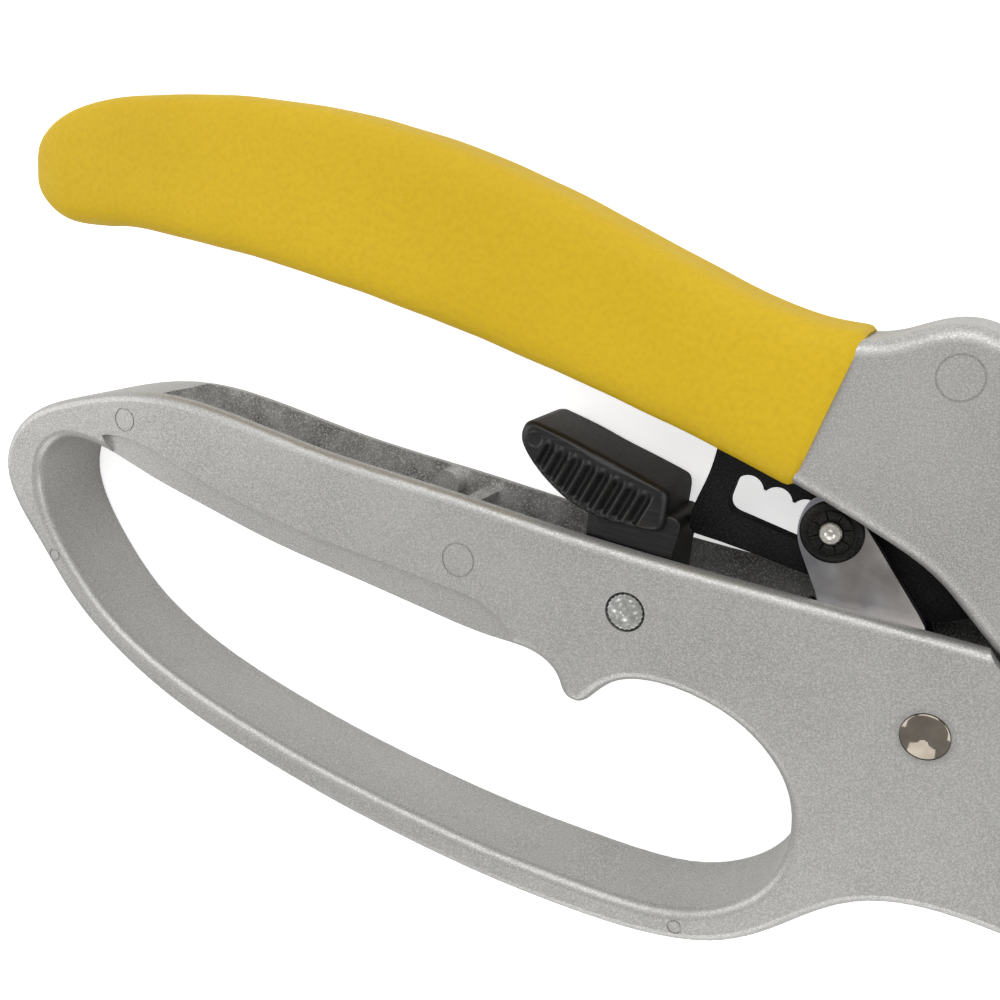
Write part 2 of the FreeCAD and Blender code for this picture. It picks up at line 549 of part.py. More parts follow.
# ---------------------------------------------------------------- thumb catch and its pin
PAD_LOW = "(Sizes.body_thick - Sizes.pad_thick) / 2"
PAD_HIGH = "(Sizes.body_thick + Sizes.pad_thick) / 2"
STEM_LOW = "(Sizes.body_thick - Sizes.stem_thick) / 2"
STEM_HIGH = "(Sizes.body_thick + Sizes.stem_thick) / 2"
pad_top_left = Vector(-50.2, 24.6, 0)
pad_top_right = Vector(-32.8, 19.8, 0)
pad_outline = runs(
    [pair(pad_top_left), (-42, 22.5), pair(pad_top_right)],
    [pair(pad_top_right), (-32.4, 14.6)],
    [(-32.4, 14.6), (-38.8, 14.5), (-43.2, 15.2), (-47, 17.1), (-49.8, 19.4), (-51.6, 21.6)],
    [(-51.6, 21.6), (-51.9, 23.2), (-51.2, 24.3), pair(pad_top_left)])
stem_outline = runs(
    [(-42.4, 16.5), (-42.2, 12), (-40.4, 8.6), (-39.6, 4.2), (-37.6, 1.4), (-35.2, 0.6),
     (-32.6, 1.3), (-31.1, 3.6), (-31.2, 7)],
    [(-31.2, 7), (-31.2, 16.5)],
    [(-31.2, 16.5), (-42.4, 16.5)])
catch = body_for("lock_catch")
pad(catch, "thumb_pad", pad_outline, PAD_LOW, PAD_HIGH)
rib_turn = math.radians(-112)
rib_way = Vector(math.cos(rib_turn), math.sin(rib_turn), 0)
pad_way = (pad_top_right - pad_top_left).normalize()
RIB_COUNT = 8
RIB_WIDE = 0.9
grooves = []
for rib in range(RIB_COUNT):
    head = pad_top_left + pad_way * (2.6 + rib * size["rib_pitch"]) + Vector(0, -0.5, 0)
    foot = head + rib_way * 10
    across = pad_way * RIB_WIDE
    grooves += polygon([pair(head), pair(foot), pair(foot + across), pair(head + across)])
pocket(catch, "near_grooves", grooves, PAD_HIGH + " - Sizes.rib_depth", PAD_HIGH + " + 1")
pocket(catch, "far_grooves", grooves, PAD_LOW + " - 1", PAD_LOW + " + Sizes.rib_depth")
pad(catch, "stem", stem_outline, STEM_LOW, STEM_HIGH)
pocket(catch, "pin_bore", [circle(CATCH, size["catch_rad"] + size["run_fit"])], "-1", FACE + " + 1")
stack("catch_pin", [CATCH], [(size["catch_rad"], 0, thick - 0.5),
                             (size["catch_head"], thick - 1.2, thick - 0.15)])

# ---------------------------------------------------------------- springs
# Each coil is drawn as closed rings of wire with its two legs.
wire = size["wire_rad"]


def coil(label, centre, radius, low, turns, legs):
    """A torsion spring: touching rings from a height upwards, and straight legs."""
    pieces = [Part.makeTorus(radius, wire, centre + Vector(0, 0, low + wire * (2 * ring + 1)))
              for ring in range(turns)]
    for start, end in legs:
        reach = end - start
        pieces.append(Part.makeCylinder(wire, reach.Length, start, reach))
    solid = pieces[0]
    for more in pieces[1:]:
        solid = solid.fuse(more)
    return settle(doc.addObject("Part::Feature", label), label, [solid])


coil_rad = BUSH_RAD + wire + 0.25
coil_low = MID - bush_half + 0.6
lean_start = Vector(-2.6, -2.6, coil_low + wire)
hook_foot = Vector(-15.3, 10.4, MID + 1.5)
coil("link_spring", RIVET, coil_rad, coil_low, 5, [
    (lean_start, Vector(-11.5, -1.6, coil_low + wire)),
    (Vector(-2.7, 2.5, coil_low + 9 * wire), hook_foot),
    (hook_foot, hook_foot + Vector(0, 0, 2.8))])

for body in nodes:
    if not body.Shape.isValid() or body.Shape.isNull():
        raise RuntimeError(body.Label + " has a bad shape")
doc.recompute()
for item in doc.Objects:
    if "Invalid" in item.State or "Error" in item.State:
        raise RuntimeError(item.Label + " failed to build")

os.makedirs("parts", exist_ok=True)
whole = FreeCAD.BoundBox()
for body in nodes:
    body.Shape.exportStep("parts/%s.step" % body.Label)
    whole.add(body.Shape.BoundBox)
    print("%-16s %2d solid(s) %9.1f mm3" % (body.Label, len(body.Shape.Solids), body.Shape.Volume))
print("size", [round(v, 2) for v in (whole.XLength, whole.YLength, whole.ZLength)],
      "middle", round(whole.Center.x, 3), round(whole.Center.y, 3), "lowest", round(whole.ZMin, 3))
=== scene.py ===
import json
import math

import bmesh
import bpy
import numpy as np
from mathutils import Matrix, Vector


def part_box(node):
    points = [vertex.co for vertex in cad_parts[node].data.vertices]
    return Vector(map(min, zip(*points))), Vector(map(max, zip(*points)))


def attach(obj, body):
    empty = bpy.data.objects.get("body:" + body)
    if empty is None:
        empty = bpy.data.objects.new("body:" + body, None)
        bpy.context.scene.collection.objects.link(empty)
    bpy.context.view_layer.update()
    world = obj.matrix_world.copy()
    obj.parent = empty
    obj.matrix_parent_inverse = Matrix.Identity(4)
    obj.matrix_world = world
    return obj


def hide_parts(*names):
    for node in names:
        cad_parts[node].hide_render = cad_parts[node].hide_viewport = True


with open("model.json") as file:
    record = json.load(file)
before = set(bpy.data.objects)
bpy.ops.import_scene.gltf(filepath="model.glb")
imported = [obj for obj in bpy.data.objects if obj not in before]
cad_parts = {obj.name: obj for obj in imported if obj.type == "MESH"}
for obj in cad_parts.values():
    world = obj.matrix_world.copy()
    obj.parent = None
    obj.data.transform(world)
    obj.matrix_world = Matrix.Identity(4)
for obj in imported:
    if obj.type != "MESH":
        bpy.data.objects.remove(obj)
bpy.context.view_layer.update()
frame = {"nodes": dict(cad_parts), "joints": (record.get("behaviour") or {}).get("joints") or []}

# ---- The pruner on its board, with the eye close above the upper handle ----
# The tool lies on its side on a plain pale board. A large soft light stands beyond the
# upper handle and weaker ones all round, low enough that flat faces don't mirror them.
MM = 0.001
joint = {j["name"]: j for j in frame["joints"]}
rivet_place = np.array(joint["link_swing"]["pos_m"])
face_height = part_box("lower_handle")[1][2]


def aimed(kind, name, place, turn):
    """A light or camera at a place, turned by three angles in degrees."""
    thing = bpy.data.objects.new(name, kind)
    thing.location = place
    thing.rotation_euler = [math.radians(a) for a in turn]
    bpy.context.collection.objects.link(thing)
    return thing


SENSOR_WIDTH, FOCAL_LENGTH = 36.0, 44.1
EYE_ASIDE, EYE_BEYOND, EYE_ABOVE = 2.24 * MM, 56.94 * MM, 130.1 * MM
EYE_TURN = (-13.761, 24.697, 7.268)
lens = bpy.data.cameras.new("eye")
lens.sensor_width = SENSOR_WIDTH
lens.lens = FOCAL_LENGTH
lens.clip_start = 5 * MM
eye_place = (rivet_place[0] + EYE_ASIDE, rivet_place[1] + EYE_BEYOND, face_height + EYE_ABOVE)
bpy.context.scene.camera = aimed(lens, "eye", eye_place, EYE_TURN)

FLOOR_REACH = 3.0
BOARD_WHITE = 0.93
BOARD_GLOW = 0.6
floor_mesh = bpy.data.meshes.new("board")
floor_corners = np.array([(-1, -1), (1, -1), (1, 1), (-1, 1)]) * FLOOR_REACH
floor_mesh.from_pydata([(x, y, 0.0) for x, y in floor_corners], [], [(0, 1, 2, 3)])
board = bpy.data.objects.new("board", floor_mesh)
bpy.context.collection.objects.link(board)
board_paint = bpy.data.materials.new("board_paint")
board_paint.use_nodes = True
board_shader = board_paint.node_tree.nodes["Principled BSDF"]
board_shader.inputs["Base Color"].default_value = (BOARD_WHITE, BOARD_WHITE, BOARD_WHITE, 1)
board_shader.inputs["Roughness"].default_value = 0.9
board_shader.inputs["Specular IOR Level"].default_value = 0.1
# The glow is for rays that come straight from the eye, so it doesn't light the tool.
light_path = board_paint.node_tree.nodes.new("ShaderNodeLightPath")
board_paint.node_tree.links.new(light_path.outputs["Is Camera Ray"],
                                board_shader.inputs["Emission Color"])
board_shader.inputs["Emission Strength"].default_value = BOARD_GLOW
floor_mesh.materials.append(board_paint)


def soft_light(name, place, turn, wide, watts):
    """A square area light of a width in metres."""
    lamp = bpy.data.lights.new(name, "AREA")
    lamp.size = wide
    lamp.energy = watts
    return aimed(lamp, name, place, turn)


soft_light("beyond", (-0.05, 0.75, 0.65), turn=(-50, 0, 0), wide=0.9, watts=5.6)
soft_light("left", (-0.80, 0.10, 0.45), turn=(0, -61, 0), wide=0.7, watts=2.8)
soft_light("right", (0.85, 0.05, 0.45), turn=(0, 62, 0), wide=0.7, watts=2.8)
soft_light("front", (0.0, -0.85, 0.45), turn=(62, 0, 0), wide=0.7, watts=2.6)
ROOM_LIGHT = 0.52
world = bpy.data.worlds.new("studio")
world.use_nodes = True
world.node_tree.nodes["Background"].inputs["Color"].default_value = (1, 1, 1, 1)
world.node_tree.nodes["Background"].inputs["Strength"].default_value = ROOM_LIGHT
bpy.context.scene.world = world
bpy.context.scene.view_settings.view_transform = "Standard"


# ---- Lower handle ----
# One aluminium die casting with the knuckle guard, sprayed with fine silver paint. The
# channel that the catch and the link sit in is masked off and stays bare, dull metal.


def node(tree, kind, **settings):
    """A shader node of a kind, with its properties set by name."""
    made = tree.nodes.new("ShaderNode" + kind)
    for key, value in settings.items():
        setattr(made, key, value)
    return made


def feed(tree, source, target):
    """Joins an output to an input, or sets the input where the source is a plain value."""
    if hasattr(source, "is_output"):
        tree.links.new(source, target)
    else:
        target.default_value = source


def sums(tree, operation, *values):
    """The output of a Math node on one to three values or outputs."""
    step = node(tree, "Math", operation=operation)
    for value, socket in zip(values, step.inputs):
        feed(tree, value, socket)
    return step.outputs[0]


def blend_colour(tree, amount, dark, light):
    """A colour that runs from dark to light as the amount goes from 0 to 1."""
    mix = node(tree, "Mix", data_type="RGBA")
    feed(tree, amount, mix.inputs["Factor"])
    feed(tree, dark if hasattr(dark, "is_output") else (*dark, 1), mix.inputs[6])
    feed(tree, light if hasattr(light, "is_output") else (*light, 1), mix.inputs[7])
    return mix.outputs[2]


def spread(tree, value, low, high, first=0.0, last=1.0):
    """The value carried from the span low..high to first..last, clamped."""
    step = node(tree, "MapRange")
    for key, given in (("Value", value), ("From Min", low), ("From Max", high),
                       ("To Min", first), ("To Max", last)):
        feed(tree, given, step.inputs[key])
    return step.outputs["Result"]


def grain_group():
    """Cast grain: patches of tone, a fine orange-peel height and the specks that are its
    peaks, all from noise on the object's own coordinates. The inputs are the number of
    grains and of patches per metre."""
    group = bpy.data.node_groups.new("cast_grain", "ShaderNodeTree")
    for name in ("Grains", "Patches"):
        group.interface.new_socket(name, in_out="INPUT", socket_type="NodeSocketFloat")
    for name in ("Tone", "Height", "Speck"):
        group.interface.new_socket(name, in_out="OUTPUT", socket_type="NodeSocketFloat")
    start, end = node(group, "TexCoord"), group.nodes.new("NodeGroupOutput")
    given = group.nodes.new("NodeGroupInput")
    fine = node(group, "TexNoise")
    broad = node(group, "TexNoise")
    fine.inputs["Detail"].default_value = 3.0
    broad.inputs["Detail"].default_value = 4.0
    for noise, count in ((fine, "Grains"), (broad, "Patches")):
        group.links.new(start.outputs["Object"], noise.inputs["Vector"])
        group.links.new(given.outputs[count], noise.inputs["Scale"])
    group.links.new(spread(group, broad.outputs["Fac"], low=0.3, high=0.7), end.inputs["Tone"])
    group.links.new(fine.outputs["Fac"], end.inputs["Height"])
    group.links.new(spread(group, fine.outputs["Fac"], low=0.42, high=0.68),
                    end.inputs["Speck"])
    return group


CAST_GRAIN = grain_group()


def grained(tree, grains, patches):
    """The cast grain group placed in a material with its own counts."""
    made = node(tree, "Group", node_tree=CAST_GRAIN)
    made.inputs["Grains"].default_value = grains
    made.inputs["Patches"].default_value = patches
    return made.outputs


def finish_of(name, roughness, metallic, specular=0.5):
    """A new material whose even values sit on the shader itself."""
    made = bpy.data.materials.new(name)
    made.use_nodes = True
    shader = made.node_tree.nodes["Principled BSDF"]
    shader.inputs["Roughness"].default_value = roughness
    shader.inputs["Metallic"].default_value = metallic
    shader.inputs["Specular IOR Level"].default_value = specular
    return made, made.node_tree, shader


def bumped(tree, shader, height, depth, strength):
    """Bumps the shader's normal by a height of 0 to 1 that is depth metres high."""
    bump = node(tree, "Bump")
    bump.inputs["Distance"].default_value = depth
    bump.inputs["Strength"].default_value = strength
    tree.links.new(height, bump.inputs["Height"])
    tree.links.new(bump.outputs["Normal"], shader.inputs["Normal"])


def place_parts(tree):
    """X, Y and Z of the point on the piece, from the link rivet's axis, in millimetres."""
    split = node(tree, "SeparateXYZ")
    tree.links.new(node(tree, "TexCoord").outputs["Object"], split.inputs[0])
    offsets = [sums(tree, "SUBTRACT", split.outputs[axis], float(start))
               for axis, start in enumerate(rivet_place)]
    return [sums(tree, "MULTIPLY", offset, 1 / MM) for offset in offsets]


# The channel in millimetres from the rivet's axis: points along its floor, the span of
# heights that they lie in, its half width, and its back and front ends.
CHANNEL_FLOOR = [(-105.0, 9.7), (-92.0, 5.7), (-72.0, 3.1), (-56.0, 1.0), (-44.0, -2.4),
                 (-30.0, -2.0), (-14.0, -7.0), (16.0, -9.0)]
FLOOR_LOW, FLOOR_HIGH = -10.0, 20.0
CHANNEL_HALF = 4.93
CHANNEL_BACK, CHANNEL_FRONT = -105.6, 17.0
GRIME_INNER, GRIME_OUTER = 2.7, 3.5


def channel_mask(tree, along, up, across):
    """1 where Z is within the channel and Y is above a ramp that follows its floor."""
    floor = node(tree, "ValToRGB")
    first, last = CHANNEL_FLOOR[0][0], CHANNEL_FLOOR[-1][0]
    while len(floor.color_ramp.elements) < len(CHANNEL_FLOOR):
        floor.color_ramp.elements.new(0.5)
    for stop, (x, y) in zip(floor.color_ramp.elements, CHANNEL_FLOOR):
        stop.position = (x - first) / (last - first)
        stop.color = ((y - FLOOR_LOW) / (FLOOR_HIGH - FLOOR_LOW),) * 3 + (1,)
    feed(tree, spread(tree, along, first, last), floor.inputs["Fac"])
    line = spread(tree, floor.outputs["Color"], 0.0, 1.0, first=FLOOR_LOW, last=FLOOR_HIGH)
    above = sums(tree, "GREATER_THAN", up, line)
    inside = sums(tree, "LESS_THAN", sums(tree, "ABSOLUTE", across), CHANNEL_HALF)
    within = sums(tree, "GREATER_THAN", along, CHANNEL_BACK)
    before = sums(tree, "LESS_THAN", along, CHANNEL_FRONT)
    return sums(tree, "MULTIPLY", sums(tree, "MULTIPLY", above, inside),
                sums(tree, "MULTIPLY", within, before))


def silver_paint(name, bare_channel):
    """Silver paint with fine flake and, on the casting with the channel, bare mottled
    metal inside it and a ring of grime round the link rivet."""
    made, tree, shader = finish_of(name, roughness=0.4, metallic=0.62)
    grain = grained(tree, grains=6000.0, patches=60.0)
    colour = blend_colour(tree, grain["Tone"], (0.325, 0.32, 0.308), (0.385, 0.38, 0.365))
    colour = blend_colour(tree, sums(tree, "MULTIPLY", grain["Speck"], 0.7), colour,
                          (0.64, 0.635, 0.615))
    rough = spread(tree, grain["Speck"], 0.0, 1.0, first=0.46, last=0.36)
    if bare_channel:
        along, up, across = place_parts(tree)
        bare = channel_mask(tree, along, up, across)
        mottle = grained(tree, grains=5000.0, patches=260.0)
        dull = blend_colour(tree, mottle["Tone"], (0.20, 0.197, 0.19), (0.52, 0.515, 0.505))
        flecks = spread(tree, mottle["Speck"], 0.3, 0.9, first=0.0, last=0.8)
        dull = blend_colour(tree, flecks, dull, (0.86, 0.85, 0.83))
        colour = blend_colour(tree, bare, colour, dull)
        from_rivet = sums(tree, "SQRT", sums(tree, "ADD", sums(tree, "MULTIPLY", along, along),
                                             sums(tree, "MULTIPLY", up, up)))
        grime = sums(tree, "MULTIPLY", spread(tree, from_rivet, GRIME_OUTER, GRIME_INNER),
                     grain["Tone"])
        colour = blend_colour(tree, sums(tree, "MULTIPLY", grime, 0.6), colour,
                              (0.16, 0.14, 0.11))
    tree.links.new(colour, shader.inputs["Base Color"])
    tree.links.new(rough, shader.inputs["Roughness"])
    bumped(tree, shader, grain["Height"], depth=0.03 * MM, strength=0.55)
    return made


def wear(cad_node, material):
    """Gives a CAD node its material."""
    for slot in frame["nodes"][cad_node].material_slots:
        slot.material = material


wear("lower_handle", silver_paint("silver_paint_with_channel", True))

# ---- Upper handle casting ----
# The same die-cast aluminium under the same silver paint, with no bare channel. Its
# round heel straddles the blade's tang and turns on the handle pin.
wear("upper_handle", silver_paint("silver_paint", False))

# ---- Dipped grip ----
# A skin of soft yellow PVC that the handle was dipped in and left to cure: an even
# thickness with a fine leathery grain, open along the channel, with a soft-edged mouth.


def smooth_line(points, count):
    """A natural cubic spline through the points by chord length, read at even steps."""
    points = np.array(points, float)
    gaps = np.linalg.norm(np.diff(points, axis=0), axis=1)
    knots = np.concatenate([[0.0], np.cumsum(gaps)])
    system = np.eye(len(points))
    bend = np.zeros_like(points)
    inner = np.arange(1, len(points) - 1)
    system[inner, inner - 1] = gaps[:-1]
    system[inner, inner] = 2 * (gaps[:-1] + gaps[1:])
    system[inner, inner + 1] = gaps[1:]
    slopes = np.diff(points, axis=0) / gaps[:, None]
    bend[1:-1] = 6 * np.diff(slopes, axis=0)
    curve = np.linalg.solve(system, bend)
    reach = np.linspace(0.0, knots[-1], count)
    span = np.clip(np.searchsorted(knots, reach, side="right") - 1, 0, len(gaps) - 1)
    gap = gaps[span][:, None]
    back = (knots[span + 1] - reach)[:, None]
    ahead = (reach - knots[span])[:, None]
    start, end = points[span], points[span + 1]
    return (curve[span] * back ** 3 / (6 * gap) + curve[span + 1] * ahead ** 3 / (6 * gap)
            + (start / gap - curve[span] * gap / 6) * back
            + (end / gap - curve[span + 1] * gap / 6) * ahead)


def piece_from(name, points, faces, material, sharp):
    """A piece from points in metres and faces, smooth but for edges that are sharper than
    an angle in degrees."""
    mesh = bpy.data.meshes.new(name)
    mesh.from_pydata(points.tolist(), [], faces)
    return dressed(name, mesh, material, sharp)


def dressed(name, mesh, material, sharp):
    """Merges a mesh's doubles, turns its faces outwards, shades it and makes it an
    object."""
    work = bmesh.new()
    work.from_mesh(mesh)
    bmesh.ops.remove_doubles(work, verts=work.verts, dist=0.002 * MM)
    bmesh.ops.recalc_face_normals(work, faces=work.faces)
    work.to_mesh(mesh)
    work.free()
    mesh.materials.clear()
    mesh.materials.append(material)
    mesh.shade_smooth()
    mesh.set_sharp_from_angle(angle=math.radians(sharp))
    made = bpy.data.objects.new(name, mesh)
    bpy.context.collection.objects.link(made)
    return made


def grid_faces(rows, columns, wrap_rows=False):
    """Quads of a grid of points whose columns wrap round, and its rows too if asked."""
    row = np.arange(rows if wrap_rows else rows - 1)[:, None]
    column = np.arange(columns)[None, :]
    ahead, beside = (row + 1) % rows, (column + 1) % columns
    quads = [row * columns + column, row * columns + beside,
             ahead * columns + beside, ahead * columns + column]
    return np.stack(np.broadcast_arrays(*quads), axis=-1).reshape(-1, 4).tolist()


def fixed(piece, body, slot, *nodes):
    """Rides on a body and stands for its CAD nodes. Its slot argument is not used."""
    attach(piece, body)
    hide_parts(*nodes)
    return piece


GRIP_TOP = [(-14.6, 41.4), (-18.5, 41.4), (-29.8, 43.8), (-44.9, 48.9), (-60.7, 53.6),
            (-74.6, 56.2), (-92.2, 57.4), (-108.8, 56.3), (-114.8, 55.4), (-121, 53.7),
            (-125.6, 51), (-128.2, 47.9), (-129, 44.6)]
GRIP_UNDER = [(-19.4, 22.9), (-30.4, 26.1), (-45.5, 29.8), (-63, 33.4), (-78.8, 35.9),
              (-95.7, 37.8), (-105.9, 38.4), (-111.8, 38.6), (-119.6, 38), (-122.8, 38.2),
              (-126.2, 39.8), (-128.3, 41.9), (-129, 44.6)]
GRIP_HALF, GRIP_SQUARENESS = 6.72, 4.4
SLOT_HALF, SLOT_DEPTH, SLOT_WALL = 4.3, 6.5, 0.35
# Shares of the grip's length: where the slot runs out, the tip closes and the lip ends.
SLOT_END, SLOT_RAMP = 0.86, 0.05
TIP_START, TIP_LENGTH = 0.90, 0.10
LIP_LENGTH, LIP_DROP = 0.008, 0.05


def grip_skin(rings, around):
    """Rings between the upper and lower outlines. Each ring is a squared ellipse,
    |y|^n + |z|^n = 1, whose underside turns up into the channel's groove; the rings
    close in at the tip and round over at the mouth, and the skin swells by a slow wave."""
    top, under = smooth_line(GRIP_TOP, rings), smooth_line(GRIP_UNDER, rings)
    along = np.linspace(0.0, 1.0, rings)[:, None]
    middle, half = (top + under) / 2, (top - under) / 2
    tall = np.linalg.norm(half, axis=1)[:, None]
    swell = 1 + 0.003 * np.sin(along * 47) + 0.002 * np.sin(along * 83 + 1)
    lip = 1 - LIP_DROP * np.clip(1 - along / LIP_LENGTH, 0, 1) ** 2
    closing = np.clip((along - TIP_START) / TIP_LENGTH, 0, 1)
    wide = GRIP_HALF * np.sqrt(np.clip(1 - closing ** 2, 0, 1)) * lip
    turn = np.linspace(-np.pi * 0.5, np.pi * 1.5, around, endpoint=False)[None, :]
    power = 2 / GRIP_SQUARENESS
    high = np.sign(np.sin(turn)) * np.abs(np.sin(turn)) ** power * swell * lip
    side = np.sign(np.cos(turn)) * np.abs(np.cos(turn)) ** power * wide
    groove = SLOT_DEPTH * np.clip((SLOT_END - along) / SLOT_RAMP, 0, 1)
    lowest = (np.sin(turn) < 0) & (np.abs(side) < SLOT_HALF)
    deep = np.clip((SLOT_HALF - np.abs(side)) / SLOT_WALL, 0, 1)
    high = high + np.where(lowest, groove * deep / np.maximum(tall, 1e-6), 0)
    flat = middle[:, None, :] + half[:, None, :] * high[..., None]
    return np.concatenate([flat, side[..., None]], axis=2)


def in_frame(points):
    """Points in millimetres about the link rivet's axis and mid height, in the frame."""
    return points.reshape(-1, 3) * MM + rivet_place


def yellow_pvc():
    """Matt PVC: small leathery cells with a little noise, and slow patches of tone."""
    made, tree, shader = finish_of("yellow_pvc", roughness=0.6, metallic=0.0, specular=0.2)
    grain = grained(tree, grains=1500.0, patches=28.0)
    cells = node(tree, "TexVoronoi", feature="SMOOTH_F1")
    cells.inputs["Scale"].default_value = 1350.0
    tree.links.new(node(tree, "TexCoord").outputs["Object"], cells.inputs["Vector"])
    colour = blend_colour(tree, grain["Tone"], (0.53, 0.35, 0.009), (0.59, 0.395, 0.012))
    colour = blend_colour(tree, sums(tree, "MULTIPLY", grain["Speck"], 0.22), colour,
                          (0.42, 0.265, 0.006))
    tree.links.new(colour, shader.inputs["Base Color"])
    height = sums(tree, "ADD", cells.outputs["Distance"],
                  sums(tree, "MULTIPLY", grain["Height"], 0.9))
    bumped(tree, shader, height, depth=0.09 * MM, strength=0.9)
    return made


GRIP_RINGS, GRIP_AROUND = 220, 180
skin_points = grip_skin(GRIP_RINGS, GRIP_AROUND)
mouth = list(range(GRIP_AROUND))[::-1]
tip = list(range((GRIP_RINGS - 1) * GRIP_AROUND, GRIP_RINGS * GRIP_AROUND))
skin = piece_from("grip_skin", in_frame(skin_points),
                  grid_faces(GRIP_RINGS, GRIP_AROUND) + [mouth, tip], yellow_pvc(),
                  sharp=60.0)
fixed(skin, "upper_handle", "yellow_grip", "handle_grip")

# ---- Thumb catch ----
# A moulded black nylon rocker: a ribbed thumb pad on a stem that turns on the knurled
# pin. Its top is rubbed along its length and its ribs have softened edges.


def eased(name, cad_node, width, material):
    """A copy of a CAD node, its doubles merged and its edges that turn by more than 28
    degrees rounded over by a width."""
    mesh = frame["nodes"][cad_node].data.copy()
    work = bmesh.new()
    work.from_mesh(mesh)
    bmesh.ops.remove_doubles(work, verts=work.verts, dist=0.004 * MM)
    bmesh.ops.dissolve_limit(work, angle_limit=math.radians(1.2), verts=work.verts,
                             edges=work.edges)
    keen = [e for e in work.edges if len(e.link_faces) == 2
            and e.calc_face_angle(0) > math.radians(28)]
    bmesh.ops.bevel(work, geom=keen, offset=width, segments=2, profile=0.6,
                    affect="EDGES", clamp_overlap=True)
    work.to_mesh(mesh)
    work.free()
    return dressed(name, mesh, material, sharp=42.0)


PAD_SLOPE = 15
LINES_ALONG, LINES_ACROSS = 120.0, 6000.0


def black_nylon():
    """Half-gloss moulded nylon with a spark texture and fine rubbed lines along it: noise
    that is drawn out down the pad's slope."""
    made, tree, shader = finish_of("black_nylon", roughness=0.27, metallic=0.0, specular=0.36)
    grain = grained(tree, grains=5200.0, patches=160.0)
    stretch = node(tree, "Mapping")
    stretch.inputs["Rotation"].default_value = (0, 0, math.radians(PAD_SLOPE))
    stretch.inputs["Scale"].default_value = (LINES_ALONG, LINES_ACROSS, LINES_ACROSS)
    lines = node(tree, "TexNoise")
    lines.inputs["Scale"].default_value = 1.0
    lines.inputs["Detail"].default_value = 2.0
    tree.links.new(node(tree, "TexCoord").outputs["Object"], stretch.inputs["Vector"])
    tree.links.new(stretch.outputs["Vector"], lines.inputs["Vector"])
    rubbed = spread(tree, lines.outputs["Fac"], 0.5, 0.72)
    colour = blend_colour(tree, grain["Tone"], (0.0045, 0.0045, 0.005),
                          (0.009, 0.0085, 0.008))
    colour = blend_colour(tree, sums(tree, "MULTIPLY", rubbed, 0.35), colour,
                          (0.035, 0.028, 0.023))
    tree.links.new(colour, shader.inputs["Base Color"])
    tree.links.new(spread(tree, rubbed, 0.0, 1.0, first=0.34, last=0.5),
                   shader.inputs["Roughness"])
    height = sums(tree, "ADD", grain["Height"], lines.outputs["Fac"])
    bumped(tree, shader, height, depth=0.015 * MM, strength=0.6)
    return made


PAD_EDGE = [(-50.2, 24.6), (-47.5, 24), (-44.7, 23.3), (-42, 22.5), (-38.5, 21.55),
            (-35, 20.55), (-33.7, 20.15), (-33, 19.8), (-32.7, 19.2), (-32.6, 18.2),
            (-32.6, 16.8), (-32.65, 15.8), (-32.9, 15.1), (-33.6, 14.75), (-36, 14.6),
            (-38.8, 14.6), (-41, 14.8), (-43.2, 15.3), (-45.2, 16.1), (-47, 17.2),
            (-48.6, 18.4), (-49.8, 19.5), (-51, 20.9), (-51.7, 22.2), (-51.7, 23.4),
            (-51.2, 24.3)]
PAD_HALF, PAD_ROUND, PAD_MIDDLE = 5.6, 1.15, np.array([-41.5, 18.9])
# The ribs are counted from the pad's upper left corner, along its top edge and down.
PAD_CORNER = np.array([-50.2, 24.6])
PAD_ALONG, PAD_UP = np.array([0.927, -0.375]), np.array([0.265, 0.964])
RIB_START, RIB_PITCH, RIBS, RIB_DEPTH = 2.3, 1.85, 8, 0.95
RIB_TOP, RIB_ARCH, RIB_ENDS = 0.9, 1.3, 0.5
RIB_RIM, RIB_FADE = 0.1, 1.1
MARK_PLACE, MARK_RAD = np.array([-49.7, 22.6]), 1.0
MARK_EDGE, MARK_DEPTH = 0.12, 0.16


def thumb_pad(around, rings):
    """Rings from the middle of one face, over the rounded edge and across the other. Both
    faces fall in smooth valleys, (1 - cos) / 2 across the pad, which fade at the rounded
    edge all round, and dip at a round moulding mark."""
    edge = smooth_line(PAD_EDGE + PAD_EDGE[:1], around + 1)[:-1]
    spoke = edge - PAD_MIDDLE
    reach = np.linalg.norm(spoke, axis=1)[None, :]
    curl = np.linspace(0, np.pi / 2, 9)[:, None]
    flat = np.linspace(0, 1, rings, endpoint=False)[:, None]
    near = np.concatenate([flat * (reach - PAD_ROUND), reach - PAD_ROUND * (1 - np.sin(curl))])
    fall = np.concatenate([np.zeros_like(flat), PAD_ROUND * (1 - np.cos(curl))])
    place = PAD_MIDDLE + spoke[None] / reach[..., None] * near[..., None]
    across = (place - PAD_CORNER) @ PAD_ALONG - RIB_START
    below = -((place - PAD_CORNER) @ PAD_UP)
    started = np.clip(across / RIB_ENDS, 0, 1)
    unfinished = np.clip((RIBS * RIB_PITCH - across) / RIB_ENDS, 0, 1)
    valley = 0.5 - 0.5 * np.cos(across * 2 * np.pi / RIB_PITCH)
    arch = np.clip((below - RIB_TOP) / RIB_ARCH, 0, 1)
    inward = np.clip((reach - near - RIB_RIM) / RIB_FADE, 0, 1)
    dent = RIB_DEPTH * valley ** 0.8 * started * unfinished * arch * inward
    mark = np.linalg.norm(place - MARK_PLACE, axis=-1)
    dent = dent + MARK_DEPTH * np.clip((MARK_RAD - mark) / MARK_EDGE, 0, 1)
    high = PAD_HALF - fall - dent
    faces = [np.concatenate([place, side * high[..., None]], axis=2) for side in (1, -1)]
    return np.concatenate([faces[0], faces[1][::-1]])


